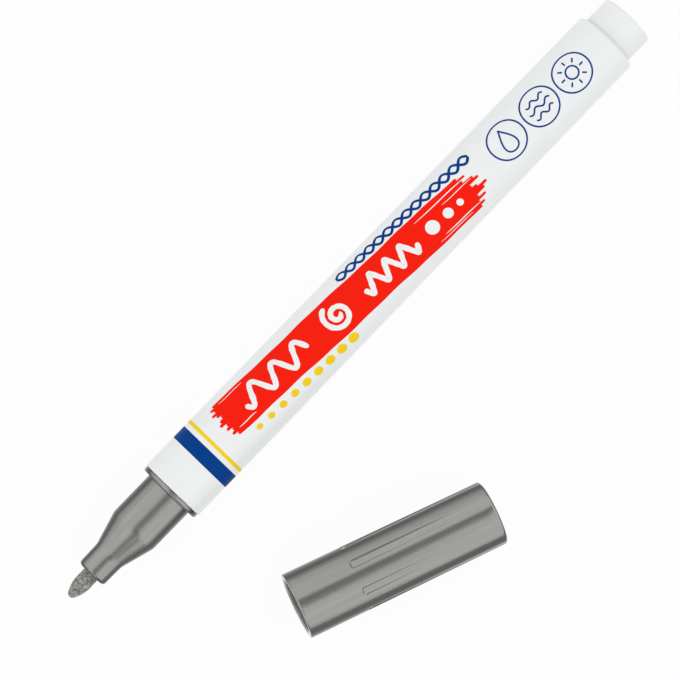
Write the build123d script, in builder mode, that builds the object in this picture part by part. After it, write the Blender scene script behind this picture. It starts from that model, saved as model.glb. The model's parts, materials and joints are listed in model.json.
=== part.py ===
from build123d import *
import math
import os

# A liquid chalk marker with a press-to-flow valve, lying on a surface with its cap off beside it.
# Lengths are in millimetres and angles in degrees. X is the marker's axis, with the nib at +X, and
# the origin is on that axis, where the flange of the front section seats on the barrel's mouth.

# Barrel
barrel_diameter = 11.2
barrel_length = 97.5
barrel_straight_length = 20.0
barrel_draft = 0.2
barrel_wall = 1.3
barrel_mouth_round = 0.15
shoulder_wall = 1.0
shoulder_round = 0.5
tail_step = 0.875
tail_length = 4.85
tail_wall = 0.95
tail_round = 0.35

# Front section
flange_step = 0.2
flange_overhang = 1.17
flange_thickness = 0.83
flange_round = 0.3
neck_length = 7.85
neck_wall = 1.3
cone_length = 5.45
cone_round = 3.0
nose_root_diameter = 5.3
nose_end_diameter = 5.16
nose_length = 4.05
nose_round = 0.6
spigot_length = 9.0
spigot_wall = 0.9
chamber_reach_share = 0.22
chamber_taper_share = 0.26

# Nib and the fibre sleeve round its shank
nib_diameter = 2.85
nib_exposed_length = 4.87
nib_point_length = 3.2
nib_tip_share = 0.53
nib_travel = 1.5
nib_stop_gap = 1.1
nib_clearance = 0.05
absorber_stand_off = 3.2

# Valve
seat_depth = 1.0
seat_thickness = 1.5
seat_flow_gap = 0.3
stem_diameter = 1.4
stem_clearance = 0.08
stem_head_gap = 0.66
stem_head_thickness = 1.0
stem_pilot_gap = 0.25
stem_pilot_length = 1.0
stem_stand_out = 0.6
cage_wall = 0.8
cage_floor = 1.2
window_length = 2.8
window_width = 2.2
window_margin = 0.35
spring_wire_diameter = 0.4
spring_end_gap = 0.02
spring_turns = 7
quarters_per_turn = 4

# Mixing ball
ball_diameter = 5.0
ball_clearance = 0.05
ball_place_share = 0.5

# Cap, and its place on the surface: the centre of its mouth and the heading of its closed end
cap_wall = 0.93
cap_draft = 0.175
cap_end_wall = 1.2
cap_air_space_length = 8.88
cap_mouth_round = 0.2
cap_lead_in = 0.25
cap_end_round = 0.5
cap_nose_gap = 0.4
cap_nib_gap = 1.0
post_clearance = 0.045
liner_step = 0.47
liner_stop = 0.5
liner_floor = 1.3
liner_clearance = 0.1
liner_mouth_share = 0.63
groove_count = 7
groove_width = 1.34
groove_corner = 0.3
groove_start = 10.1
groove_end_depth = 0.08
groove_phase = -13.0
cap_mouth_x = -0.28
cap_mouth_y = 27.45
cap_heading = 158.85

# Shared values: the fit of pieces pressed together, the overrun of cuts, the most of a wall that a
# rounded edge takes up, and how closely a rounded edge's place is matched
fit_clearance = 0.02
overrun = 1.0
round_share = 0.6
match_distance = 0.01

# Radii worked out from the sizes above
barrel_radius = barrel_diameter / 2
barrel_rear_radius = barrel_radius - barrel_draft
bore_radius = barrel_rear_radius - barrel_wall
tail_radius = barrel_rear_radius - tail_step
tail_bore_radius = tail_radius - tail_wall
flange_radius = barrel_radius - flange_step
neck_radius = flange_radius - flange_overhang
chamber_radius = neck_radius - neck_wall
nose_root_radius = nose_root_diameter / 2
nose_end_radius = nose_end_diameter / 2
spigot_radius = bore_radius - fit_clearance
valve_bore_radius = spigot_radius - spigot_wall
nib_radius = nib_diameter / 2
nib_hole_radius = nib_radius + nib_clearance
nib_tip_radius = nib_radius * nib_tip_share
stem_radius = stem_diameter / 2
cage_radius = valve_bore_radius - fit_clearance
cage_bore_radius = cage_radius - cage_wall
stem_head_radius = cage_bore_radius - stem_head_gap
spring_wire_radius = spring_wire_diameter / 2
spring_radius = stem_head_radius - spring_wire_radius
stem_pilot_radius = spring_radius - spring_wire_radius - stem_pilot_gap
ball_radius = ball_diameter / 2
cap_bore_radius = tail_radius + post_clearance
cap_mouth_radius = cap_bore_radius + cap_wall
cap_end_radius = cap_mouth_radius - cap_draft
liner_seat_radius = cap_bore_radius - liner_step
liner_radius = liner_seat_radius - fit_clearance
air_space_radius = liner_seat_radius - liner_stop

# Stations along the marker's axis, from the tip of the nib back to the tail
neck_front = flange_thickness + neck_length
nose_root = neck_front + cone_length
nose_end = nose_root + nose_length
nib_tip = nose_end + nib_exposed_length
chamber_front = neck_front + cone_length * chamber_reach_share
chamber_taper_front = chamber_front + cone_length * chamber_taper_share
seat_front = -seat_depth
seat_rear = seat_front - seat_thickness
nib_rear = seat_front + nib_travel + nib_stop_gap
stem_head_rear = seat_rear - stem_head_thickness
window_front = -spigot_length - window_margin
window_rear = window_front - window_length
cage_floor_front = window_rear - window_margin
cage_rear = cage_floor_front - cage_floor
stem_rear = cage_rear - stem_stand_out
shoulder = -barrel_length
bore_rear = shoulder + shoulder_wall
tail_end = shoulder - tail_length
tail_bore_rear = tail_end + tail_wall

# Stations along the cap's axis, from its mouth in. The mouth butts on the flange when the cap is on,
# and the liner starts part of the way along the cone and closes round the nose.
cap_bore_depth = neck_length + cone_length * liner_mouth_share
nose_socket_start = neck_length + cone_length
nose_socket_end = nose_socket_start + nose_length + cap_nose_gap
nib_socket_end = neck_length + cone_length + nose_length + nib_exposed_length + cap_nib_gap
liner_end = nib_socket_end + liner_floor
air_space_end = liner_end + cap_air_space_length
cap_length = air_space_end + cap_end_wall

# The cap lies on the surface that the barrel lies on
cap_heading_angle = math.radians(cap_heading)
cap_plane = Plane(
    origin=(cap_mouth_x, cap_mouth_y, cap_mouth_radius - barrel_radius),
    x_dir=(math.cos(cap_heading_angle), math.sin(cap_heading_angle), 0),
    z_dir=(0, 0, 1),
)
cap_axis = Axis(cap_plane.origin, cap_plane.x_dir)


def rim(piece, plane, station, radius):
    """The round edges of one radius at one station along a plane's X direction."""

    def matches(edge):
        centre = plane.to_local_coords(edge.arc_center)
        at_station = abs(centre.X - station) < match_distance
        return at_station and abs(edge.radius - radius) < match_distance

    return piece.edges().filter_by(GeomType.CIRCLE).filter_by(matches)


os.makedirs("parts", exist_ok=True)

# Barrel: a tube straight at the grip and slightly tapered behind it, closed by a stepped tail
with BuildPart() as barrel:
    with BuildSketch(Plane.XY):
        with BuildLine():
            Polyline(
                (0, bore_radius),
                (0, barrel_radius),
                (-barrel_straight_length, barrel_radius),
                (shoulder, barrel_rear_radius),
                (shoulder, tail_radius),
                (tail_end, tail_radius),
                (tail_end, 0),
                (tail_bore_rear, 0),
                (tail_bore_rear, tail_bore_radius),
                (bore_rear, tail_bore_radius),
                (bore_rear, bore_radius),
                close=True,
            )
        make_face()
    revolve(axis=Axis.X)
    mouth_edge = rim(barrel, Plane.XY, 0, barrel_radius)
    fillet(mouth_edge, min(barrel_mouth_round, barrel_wall * round_share))
    shoulder_edge = rim(barrel, Plane.XY, shoulder, barrel_rear_radius)
    fillet(shoulder_edge, min(shoulder_round, tail_step * round_share))
    tail_edge = rim(barrel, Plane.XY, tail_end, tail_radius)
    fillet(tail_edge, min(tail_round, tail_wall * round_share))
barrel.part.label = "barrel"
export_step(barrel.part, "parts/barrel.step")

# Front section: a spigot pressed into the barrel, the flange, the neck that the cap goes over, the
# cone and the nose, hollow for the valve, the absorber and the nib
with BuildPart() as front_section:
    with BuildSketch(Plane.XY):
        with BuildLine():
            Polyline(
                (-spigot_length, spigot_radius),
                (0, spigot_radius),
                (0, flange_radius),
                (flange_thickness, flange_radius),
                (flange_thickness, neck_radius),
                (neck_front, neck_radius),
                (nose_root, nose_root_radius),
                (nose_end, nose_end_radius),
                (nose_end, nib_hole_radius),
                (chamber_taper_front, nib_hole_radius),
                (chamber_front, chamber_radius),
                (seat_front, chamber_radius),
                (seat_front, valve_bore_radius),
                (-spigot_length, valve_bore_radius),
                close=True,
            )
        make_face()
    revolve(axis=Axis.X)
    flange_edge = rim(front_section, Plane.XY, flange_thickness, flange_radius)
    fillet(flange_edge, min(flange_round, flange_thickness * round_share))
    nose_edge = rim(front_section, Plane.XY, nose_end, nose_end_radius)
    fillet(nose_edge, min(nose_round, (nose_end_radius - nib_hole_radius) * round_share))
    cone_edges = rim(front_section, Plane.XY, neck_front, neck_radius)
    cone_edges += rim(front_section, Plane.XY, nose_root, nose_root_radius)
    fillet(cone_edges, min(cone_round, cone_length * round_share))
front_section.part.label = "front_section"
export_step(front_section.part, "parts/front_section.step")

# Nib: a round shank with a bullet point, whose side arc runs into the rounded tip
tip_centre = nib_tip - nib_tip_radius
point_reach = nib_point_length - nib_tip_radius
side_radius = (point_reach**2 + nib_radius**2 - nib_tip_radius**2) / (nib_radius - nib_tip_radius) / 2
tip_share = nib_tip_radius / (side_radius - nib_tip_radius)
tip_start = (tip_centre + point_reach * tip_share, (side_radius - nib_radius) * tip_share)
with BuildPart() as nib:
    with BuildSketch(Plane.XY):
        with BuildLine():
            shank = Polyline(
                (nib_rear, 0),
                (nib_rear, nib_radius),
                (nib_tip - nib_point_length, nib_radius),
            )
            side = TangentArc(shank @ 1, tip_start, tangent=(1, 0))
            tip = TangentArc(side @ 1, (nib_tip, 0), tangent=side % 1)
            Line(tip @ 1, shank @ 0)
        make_face()
    revolve(axis=Axis.X)
nib.part.label = "nib"
export_step(nib.part, "parts/nib.step")

# Ink absorber: a fibre sleeve in the front section's chamber, round the nib's shank
with BuildPart() as ink_absorber:
    with BuildSketch(Plane.XY):
        with BuildLine():
            Polyline(
                (seat_front + absorber_stand_off, nib_hole_radius),
                (chamber_front, nib_hole_radius),
                (chamber_front, chamber_radius - fit_clearance),
                (seat_front + absorber_stand_off, chamber_radius - fit_clearance),
                close=True,
            )
        make_face()
    revolve(axis=Axis.X)
ink_absorber.part.label = "ink_absorber"
export_step(ink_absorber.part, "parts/ink_absorber.step")

# Valve seat: a soft ring held between the step in the front section and the cage
with BuildPart() as valve_seat:
    with BuildSketch(Plane.XY):
        with BuildLine():
            Polyline(
                (seat_rear, stem_radius + seat_flow_gap),
                (seat_front, stem_radius + seat_flow_gap),
                (seat_front, cage_radius),
                (seat_rear, cage_radius),
                close=True,
            )
        make_face()
    revolve(axis=Axis.X)
valve_seat.part.label = "valve_seat"
export_step(valve_seat.part, "parts/valve_seat.step")

# Valve stem: a pin behind the nib, the head that closes on the seat, the spring's pilot, and a rod
# that runs in the cage's floor
with BuildPart() as valve_stem:
    with BuildSketch(Plane.XY):
        with BuildLine():
            Polyline(
                (nib_rear, 0),
                (nib_rear, stem_radius),
                (seat_rear, stem_radius),
                (seat_rear, stem_head_radius),
                (stem_head_rear, stem_head_radius),
                (stem_head_rear, stem_pilot_radius),
                (stem_head_rear - stem_pilot_length, stem_pilot_radius),
                (stem_head_rear - stem_pilot_length, stem_radius),
                (stem_rear, stem_radius),
                (stem_rear, 0),
                close=True,
            )
        make_face()
    revolve(axis=Axis.X)
valve_stem.part.label = "valve_stem"
export_step(valve_stem.part, "parts/valve_stem.step")

# Valve cage: a cup pressed into the spigot, with a window on each of four sides for the ink
with BuildPart() as valve_cage:
    with BuildSketch(Plane.XY):
        with BuildLine():
            Polyline(
                (seat_rear, cage_bore_radius),
                (seat_rear, cage_radius),
                (cage_rear, cage_radius),
                (cage_rear, stem_radius + stem_clearance),
                (cage_floor_front, stem_radius + stem_clearance),
                (cage_floor_front, cage_bore_radius),
                close=True,
            )
        make_face()
    revolve(axis=Axis.X)
    for window_plane in (Plane.XY, Plane.XZ):
        with BuildSketch(window_plane):
            with Locations(((window_front + window_rear) / 2, 0)):
                Rectangle(window_length, window_width)
        extrude(amount=cage_radius + overrun, both=True, mode=Mode.SUBTRACT)
valve_cage.part.label = "valve_cage"
export_step(valve_cage.part, "parts/valve_cage.step")

# Valve spring: one unbroken wire from the stem's head to the cage's floor, each quarter turn of its
# helix made of two arcs that meet along a common tangent
spring_front = stem_head_rear - spring_wire_radius - spring_end_gap
spring_rear = cage_floor_front + spring_wire_radius + spring_end_gap
spring_pitch = (spring_front - spring_rear) / spring_turns


def coil_point(turns):
    """A point on the helix, counted in turns from its front end."""
    angle = math.tau * turns
    across = spring_radius * math.cos(angle)
    up = spring_radius * math.sin(angle)
    return Vector(spring_front - spring_pitch * turns, across, up)


def coil_direction(turns):
    """The direction of the wire at that point."""
    angle = math.tau * turns
    across = -spring_radius * math.sin(angle) * math.tau
    up = spring_radius * math.cos(angle) * math.tau
    return Vector(-spring_pitch, across, up).normalized()


with BuildPart() as valve_spring:
    with BuildLine() as coil:
        for quarter in range(spring_turns * quarters_per_turn):
            start = coil_point(quarter / quarters_per_turn)
            end = coil_point((quarter + 1) / quarters_per_turn)
            leaving = coil_direction(quarter / quarters_per_turn)
            arriving = coil_direction((quarter + 1) / quarters_per_turn)
            chord = end - start
            lean = chord.dot(leaving + arriving)
            spread = 2 * (1 - leaving.dot(arriving))
            reach = (math.sqrt(lean**2 + spread * chord.dot(chord)) - lean) / spread
            middle = (start + end + (leaving - arriving) * reach) / 2
            first_arc = TangentArc(start, middle, tangent=leaving)
            TangentArc(middle, end, tangent=first_arc % 1)
    with BuildSketch(Plane(origin=coil_point(0), z_dir=coil_direction(0))):
        Circle(spring_wire_radius)
    sweep()
valve_spring.part.label = "valve_spring"
export_step(valve_spring.part, "parts/valve_spring.step")

# The least gap of the wire to itself, measured on points of the helix half a turn or more apart
points_per_turn = 48
spring_points = [coil_point(step / points_per_turn) for step in range(spring_turns * points_per_turn + 1)]
spring_gap = min(
    (spring_points[other] - point).length
    for index, point in enumerate(spring_points)
    for other in range(index + points_per_turn // 2, len(spring_points))
)
print("valve_spring gap to itself", round(spring_gap - spring_wire_diameter, 3))

# Mixing ball: loose in the ink chamber, lying at the bottom of the bore
ball_front_limit = stem_rear - nib_travel - ball_radius
ball_rear_limit = bore_rear + ball_radius
ball_place = ball_front_limit + (ball_rear_limit - ball_front_limit) * ball_place_share
with BuildPart() as mixing_ball:
    with Locations((ball_place, 0, ball_radius + ball_clearance - bore_radius)):
        Sphere(ball_radius)
mixing_ball.part.label = "mixing_ball"
export_step(mixing_ball.part, "parts/mixing_ball.step")

# Cap shell: a drafted cup with a bore that also posts on the tail, a seat for the liner, an air
# space behind it, and shallow grip grooves that run out at the closed end
with BuildPart() as cap_shell:
    with BuildSketch(cap_plane):
        with BuildLine():
            Polyline(
                (0, cap_bore_radius + cap_lead_in),
                (0, cap_mouth_radius),
                (cap_length, cap_end_radius),
                (cap_length, 0),
                (air_space_end, 0),
                (air_space_end, air_space_radius),
                (liner_end, air_space_radius),
                (liner_end, liner_seat_radius),
                (cap_bore_depth, liner_seat_radius),
                (cap_bore_depth, cap_bore_radius),
                (cap_lead_in, cap_bore_radius),
                close=True,
            )
        make_face()
    revolve(axis=cap_axis)
    cap_mouth_edge = rim(cap_shell, cap_plane, 0, cap_mouth_radius)
    fillet(cap_mouth_edge, min(cap_mouth_round, (cap_wall - cap_lead_in) * round_share))
    cap_end_edge = rim(cap_shell, cap_plane, cap_length, cap_end_radius)
    fillet(cap_end_edge, min(cap_end_round, cap_end_wall * round_share))
    groove_length = cap_length - groove_start + overrun
    groove_corner_radius = min(groove_corner, groove_width / 2 * round_share)
    for groove in range(groove_count):
        groove_angle = math.radians(groove_phase) + math.tau * groove / groove_count
        outward = cap_plane.y_dir * math.sin(groove_angle) + cap_plane.z_dir * math.cos(groove_angle)
        groove_plane = Plane(origin=cap_plane.origin, x_dir=cap_plane.x_dir, z_dir=outward)
        with BuildSketch(groove_plane.offset(cap_end_radius - groove_end_depth)):
            with Locations((groove_start, 0)):
                groove_start_edge = (Align.MIN, Align.CENTER)
                RectangleRounded(groove_length, groove_width, groove_corner_radius, align=groove_start_edge)
        extrude(amount=cap_draft + overrun, mode=Mode.SUBTRACT)
cap_shell.part.label = "cap_shell"
export_step(cap_shell.part, "parts/cap_shell.step")

# Cap inner seal: a liner whose sockets take the end of the cone, the nose and the nib
liner_mouth_radius = neck_radius + (nose_root_radius - neck_radius) * liner_mouth_share
with BuildPart() as cap_inner_seal:
    with BuildSketch(cap_plane):
        with BuildLine():
            Polyline(
                (cap_bore_depth, liner_mouth_radius + liner_clearance),
                (cap_bore_depth, liner_radius),
                (liner_end, liner_radius),
                (liner_end, 0),
                (nib_socket_end, 0),
                (nib_socket_end, nib_radius + liner_clearance),
                (nose_socket_end, nib_radius + liner_clearance),
                (nose_socket_end, nose_root_radius + liner_clearance),
                (nose_socket_start, nose_root_radius + liner_clearance),
                close=True,
            )
        make_face()
    revolve(axis=cap_axis)
cap_inner_seal.part.label = "cap_inner_seal"
export_step(cap_inner_seal.part, "parts/cap_inner_seal.step")
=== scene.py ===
import json
import math

import bpy
from bpy.props import FloatProperty, FloatVectorProperty, IntProperty, PointerProperty
from mathutils import Matrix, Vector

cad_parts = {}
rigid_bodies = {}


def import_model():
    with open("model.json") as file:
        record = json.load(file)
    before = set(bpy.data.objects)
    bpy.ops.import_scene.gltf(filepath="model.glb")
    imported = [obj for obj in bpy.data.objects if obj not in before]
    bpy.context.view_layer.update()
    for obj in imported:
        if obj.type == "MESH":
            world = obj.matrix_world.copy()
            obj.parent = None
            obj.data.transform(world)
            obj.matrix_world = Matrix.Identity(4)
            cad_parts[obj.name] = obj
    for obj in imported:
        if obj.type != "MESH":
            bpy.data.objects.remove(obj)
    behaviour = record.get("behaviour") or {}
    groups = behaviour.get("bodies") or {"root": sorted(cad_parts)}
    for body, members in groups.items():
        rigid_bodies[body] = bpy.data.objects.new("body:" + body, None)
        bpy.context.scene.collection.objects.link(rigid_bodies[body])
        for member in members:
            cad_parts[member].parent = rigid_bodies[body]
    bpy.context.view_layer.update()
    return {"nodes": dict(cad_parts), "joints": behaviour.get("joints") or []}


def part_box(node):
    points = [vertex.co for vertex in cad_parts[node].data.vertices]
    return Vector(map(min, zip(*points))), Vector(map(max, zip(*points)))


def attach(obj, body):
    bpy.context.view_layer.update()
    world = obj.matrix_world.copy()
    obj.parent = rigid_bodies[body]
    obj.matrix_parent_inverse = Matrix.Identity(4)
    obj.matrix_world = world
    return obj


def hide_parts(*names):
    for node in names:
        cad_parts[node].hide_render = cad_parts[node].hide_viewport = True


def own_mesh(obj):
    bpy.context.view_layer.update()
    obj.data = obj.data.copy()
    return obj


bl_info = {
    "name": "Liquid chalk marker",
    "version": (1, 0, 0),
    "blender": (4, 5, 0),
    "location": "3D View > Sidebar > Marker",
    "description": "Finishes, print, nib, spring and studio for a chalk marker lying beside its cap",
    "category": "Object",
}

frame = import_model()
NODES = frame["nodes"]
JOINTS = {joint["name"]: joint for joint in frame["joints"]}

# Sizes read from the frame, in metres. X is the marker's axis, with the nib at +X.
MM = 0.001
BARREL_LOW, BARREL_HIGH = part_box("barrel")
BARREL_RADIUS = BARREL_HIGH.z
FLOOR_HEIGHT = BARREL_LOW.z
NIB_LOW, NIB_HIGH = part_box("nib")
NIB_RADIUS = NIB_HIGH.z
NOSE_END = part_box("front_section")[1].x
SPRING_LOW, SPRING_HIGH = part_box("valve_spring")
CAP_PULL = JOINTS["cap_pull"]["axis"]
CAP_HEADING = math.atan2(CAP_PULL[1], CAP_PULL[0])

# Points of a turned piece, and points of the print, that lie closer together than this are merged
TURNED_MERGE = 0.0005 * MM
PRINT_MERGE = 0.001 * MM


# Kinds of setting


def length_setting(name, description, millimetres):
    """A length, given in millimetres and kept in metres."""
    default = millimetres * MM
    return FloatProperty(name=name, description=description, default=default, unit="LENGTH", min=0.0)


def place_setting(name, description, millimetres):
    """A point, given in millimetres and kept in metres."""
    default = tuple(value * MM for value in millimetres)
    return FloatVectorProperty(name=name, description=description, default=default, subtype="TRANSLATION")


def angle_setting(name, description, degrees):
    """An angle, given in degrees and kept in radians."""
    default = math.radians(degrees)
    return FloatProperty(name=name, description=description, default=default, subtype="ANGLE")


def share_setting(name, description, share):
    """A share of a whole, from 0 to 1."""
    return FloatProperty(
        name=name, description=description, default=share, subtype="FACTOR", min=0.0, max=1.0,
    )


def colour_setting(name, description, colour):
    """A colour in linear light."""
    return FloatVectorProperty(
        name=name, description=description, default=colour, subtype="COLOR", min=0.0, max=1.0,
    )


def drawn_setting(name, description, millimetres):
    """A size or a place in the flat drawing of the print, which is in millimetres."""
    return FloatProperty(name=name, description=description + ", in millimetres", default=millimetres)


# Settings that a user would change


class MarkerFinishSettings(bpy.types.PropertyGroup):
    """Colours of the moulded pieces and the nib."""

    barrel_white: colour_setting("Barrel white", "Colour of the barrel's plastic", (0.808, 0.826, 0.828))
    pearl_light: colour_setting("Pearl light", "Light streaks in the grey plastic", (0.350, 0.353, 0.334))
    pearl_dark: colour_setting("Pearl dark", "Dark streaks in the grey plastic", (0.224, 0.227, 0.215))
    nib_light: colour_setting("Nib light", "Light fibres of the nib", (0.448, 0.450, 0.427))
    nib_dark: colour_setting("Nib dark", "Dark pores of the nib", (0.124, 0.126, 0.118))


class MarkerNibSettings(bpy.types.PropertyGroup):
    """Sizes of the fibre nib."""

    point_length: length_setting("Point length", "Length of the rounded point", 3.2)
    tip_radius: length_setting("Tip radius", "Radius of the round end of the point", 0.755)
    fibre_size: length_setting("Fibre size", "Size of the lumps in the pressed fibre", 0.3)
    fibre_depth: length_setting("Fibre depth", "Depth of the pores between the fibres", 0.08)


class MarkerCapSettings(bpy.types.PropertyGroup):
    """Place and sizes of the cap."""

    mouth: place_setting("Mouth", "Centre of the cap's mouth", (-0.28, 27.45, -0.1))
    length: length_setting("Length", "Length of the cap", 34.6)
    mouth_radius: length_setting("Mouth radius", "Outer radius at the mouth", 5.5)
    end_radius: length_setting("End radius", "Outer radius at the closed end", 5.325)
    end_round: length_setting("End round", "Radius of the closed end's rounded edge", 0.5)
    lip_radius: length_setting("Lip radius", "Radius of the mouth's rounded edge", 0.2)
    lead: length_setting("Lead", "Width of the chamfer that leads into the bore", 0.25)
    bore_radius: length_setting("Bore radius", "Radius of the bore", 4.57)
    bore_depth: length_setting("Bore depth", "Distance from the mouth to the end of the bore", 11.2835)
    seat_radius: length_setting("Seat radius", "Radius of the seat that the liner fills", 4.1)
    seat_depth: length_setting("Seat depth", "Distance from the mouth to the end of the seat", 24.52)
    air_radius: length_setting("Air radius", "Radius of the air space behind the liner", 3.6)
    air_depth: length_setting("Air depth", "Distance from the mouth to the end of the air space", 33.4)
    groove_count: IntProperty(name="Grooves", description="Grip grooves round the cap", default=7, min=1)
    groove_width: length_setting("Groove width", "Width of a groove", 1.34)
    groove_start: length_setting("Groove start", "Distance from the mouth to the grooves", 10.1)
    groove_corner: length_setting("Groove corner", "Radius of the corners where a groove starts", 0.3)
    groove_edge: length_setting("Groove edge", "Width over which the edge of a groove is rounded", 0.38)
    groove_end_depth: length_setting("Groove end depth", "Depth of a groove at the closed end", 0.08)
    groove_phase: angle_setting("Groove phase", "Turn of the first groove from the top", -13.0)


class MarkerPrintSettings(bpy.types.PropertyGroup):
    """Colours and places of the print on the barrel."""

    red: colour_setting("Red ink", "Colour of the brushed field", (0.913, 0.0125, 0.0028))
    blue: colour_setting("Blue ink", "Colour of a ring, the braid and the symbols", (0.0, 0.0455, 0.242))
    yellow: colour_setting("Yellow ink", "Colour of the thin ring and the dots", (0.912, 0.620, 0.0142))
    white: colour_setting("White ink", "Colour of the chalk marks on the red field", (0.855, 0.865, 0.855))
    ink_height: length_setting("Ink height", "How far one layer of ink stands out from the barrel", 0.012)
    ink_sink: length_setting("Ink sink", "How far the ink reaches into the barrel", 0.03)
    facing_turn: angle_setting(
        "Facing turn", "Turn of the print's middle line from the top, towards the cap", -13.2,
    )
    slant_middle: length_setting(
        "Slant middle", "Where the slanted print crosses the middle line, back from the mouth", 45.5,
    )
    slant_rise: FloatProperty(
        name="Slant rise", description="How far the print moves round the barrel for each length along it",
        default=0.058,
    )
    taper_start: length_setting("Taper start", "Distance from the mouth to the taper", 20.0)
    taper_length: length_setting("Taper length", "Length of the tapered stretch of the barrel", 77.5)
    taper_drop: length_setting("Taper drop", "How much smaller the radius is at the end of the taper", 0.2)


class MarkerStageSettings(bpy.types.PropertyGroup):
    """Camera, lamps and floor."""

    target: place_setting("Target", "Point that the camera looks at", (-34.925, 2.581, 0.0))
    distance: length_setting("Distance", "Distance from the camera to its target", 681.24)
    azimuth: angle_setting("Azimuth", "Side that the camera leans to, from +X", -80.066)
    tilt: angle_setting("Tilt", "Lean of the camera from straight above", 13.656)
    roll: angle_setting("Roll", "Direction on the floor that is up in the picture, from +X", -134.913)
    lens: FloatProperty(
        name="Lens", description="Focal length in millimetres", default=231.20, unit="CAMERA", min=1.0,
    )
    sensor: FloatProperty(
        name="Sensor", description="Width of the camera's sensor in millimetres",
        default=36.0, unit="CAMERA", min=1.0,
    )
    box_distance: length_setting("Softbox distance", "Distance from the softboxes to the target", 1500.0)
    box_radiance: FloatProperty(
        name="Softbox level", description="Brightness of the softboxes, where 1 is white",
        default=0.8, min=0.0,
    )
    room_level: FloatProperty(
        name="Room level", description="Brightness of the room round the softboxes", default=0.34, min=0.0,
    )
    floor_size: length_setting("Floor size", "Length of the floor's sides", 20000.0)
    floor_grey: share_setting("Floor grey", "Grey of the floor that takes the shadow", 0.78)
    floor_white: share_setting("Floor white", "Share of the floor that shows as plain white", 0.95)


# Node helpers


def add_node(tree, kind, inputs=None, **settings):
    """Add a node, set its options, and set or link its inputs, each by its name or its number."""
    node = tree.nodes.new(kind)
    for name, value in settings.items():
        setattr(node, name, value)
    for name, value in (inputs or {}).items():
        if isinstance(value, bpy.types.NodeSocket):
            tree.links.new(value, node.inputs[name])
        else:
            node.inputs[name].default_value = value
    return node


def add_noise(tree, place, scale, detail, roughness=0.5):
    """A cloudy value that varies over the surface."""
    noise = add_node(tree, "ShaderNodeTexNoise", {
        "Vector": place, "Scale": scale, "Detail": detail, "Roughness": roughness,
    })
    return noise.outputs["Fac"]


def map_range(tree, value, low, high, start=0.0, end=1.0, **settings):
    """Stretch a value that lies from start to end, so that it lies from low to high."""
    node = add_node(tree, "ShaderNodeMapRange", {
        "Value": value, "From Min": start, "From Max": end, "To Min": low, "To Max": high,
    }, **settings)
    return node.outputs["Result"]


def mix_colours(tree, factor, first, second):
    """Mix two colours by a value that varies over the surface."""
    node = add_node(tree, "ShaderNodeMix", {"Factor": factor}, data_type="RGBA")
    for socket, colour in zip((s for s in node.inputs if s.type == "RGBA"), (first, second)):
        socket.default_value = (*colour, 1.0)
    return next(s for s in node.outputs if s.type == "RGBA")


def dim(tree, colour, level):
    """Scale a colour by a value that varies over the surface."""
    node = add_node(tree, "ShaderNodeVectorMath", {0: colour, "Scale": level}, operation="SCALE")
    return node.outputs["Vector"]


# Node groups that several materials share


def place_group(tree, name, build, inputs):
    """Place a node group in a material, built when the first one asks for it, and give its outputs."""
    group = bpy.data.node_groups.get(name) or build(name)
    return add_node(tree, "ShaderNodeGroup", inputs, node_tree=group).outputs


def new_group(name, numbers, values):
    """An empty group that takes a place and numbers and puts out values, and its end nodes' sockets."""
    group = bpy.data.node_groups.new(name, "ShaderNodeTree")
    group.interface.new_socket(name="Vector", in_out="INPUT", socket_type="NodeSocketVector")
    for number in numbers:
        group.interface.new_socket(name=number, in_out="INPUT", socket_type="NodeSocketFloat")
    for value in values:
        group.interface.new_socket(name=value, in_out="OUTPUT", socket_type="NodeSocketFloat")
    return group, add_node(group, "NodeGroupInput").outputs, add_node(group, "NodeGroupOutput").inputs


def build_streaks(name):
    """Flow streaks that run along a piece's X direction, coarse and fine."""
    finer = 5.0
    group, given, result = new_group(name, ("Streak Scale", "Stretch"), ("Coarse", "Fine"))
    stretch = add_node(group, "ShaderNodeCombineXYZ", {"X": given["Stretch"], "Y": 1.0, "Z": 1.0})
    pulled = add_node(group, "ShaderNodeVectorMath", {
        0: given["Vector"], 1: stretch.outputs["Vector"],
    }, operation="MULTIPLY")
    place = pulled.outputs["Vector"]
    scale = given["Streak Scale"]
    fine_scale = add_node(group, "ShaderNodeMath", {0: scale, 1: finer}, operation="MULTIPLY")
    group.links.new(add_noise(group, place, scale, detail=3.0), result["Coarse"])
    group.links.new(add_noise(group, place, fine_scale.outputs["Value"], detail=2.0), result["Fine"])
    return group


def build_skin(name):
    """The skin of a moulded or printed surface: slow mottling and a fine grain."""
    group, given, result = new_group(name, ("Mottle Scale", "Grain Scale"), ("Mottle", "Grain"))
    group.links.new(add_noise(group, given["Vector"], given["Mottle Scale"], detail=4.0), result["Mottle"])
    group.links.new(add_noise(group, given["Vector"], given["Grain Scale"], detail=2.0), result["Grain"])
    return group


def build_seam(name):
    """A line of painted shade across a piece: 1 beside it, falling to the kept share at its station along
    X.
    """
    group, given, result = new_group(name, ("Station", "Reach", "Kept"), ("Level",))
    along = add_node(group, "ShaderNodeSeparateXYZ", {"Vector": given["Vector"]}).outputs["X"]
    offset = add_node(group, "ShaderNodeMath", {0: along, 1: given["Station"]}, operation="SUBTRACT")
    aside = add_node(group, "ShaderNodeMath", {0: offset.outputs["Value"]}, operation="ABSOLUTE")
    level = map_range(
        group, aside.outputs["Value"], low=given["Kept"], high=1.0, end=given["Reach"],
        interpolation_type="SMOOTHSTEP",
    )
    group.links.new(level, result["Level"])
    return group


# Kinds of surface


def new_material(name):
    """A material with a Principled shader, and the object's own coordinates."""
    material = bpy.data.materials.new(name)
    material.use_nodes = True
    tree = material.node_tree
    shader = tree.nodes["Principled BSDF"]
    place = add_node(tree, "ShaderNodeTexCoord").outputs["Object"]
    return material, tree, shader, place


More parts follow.
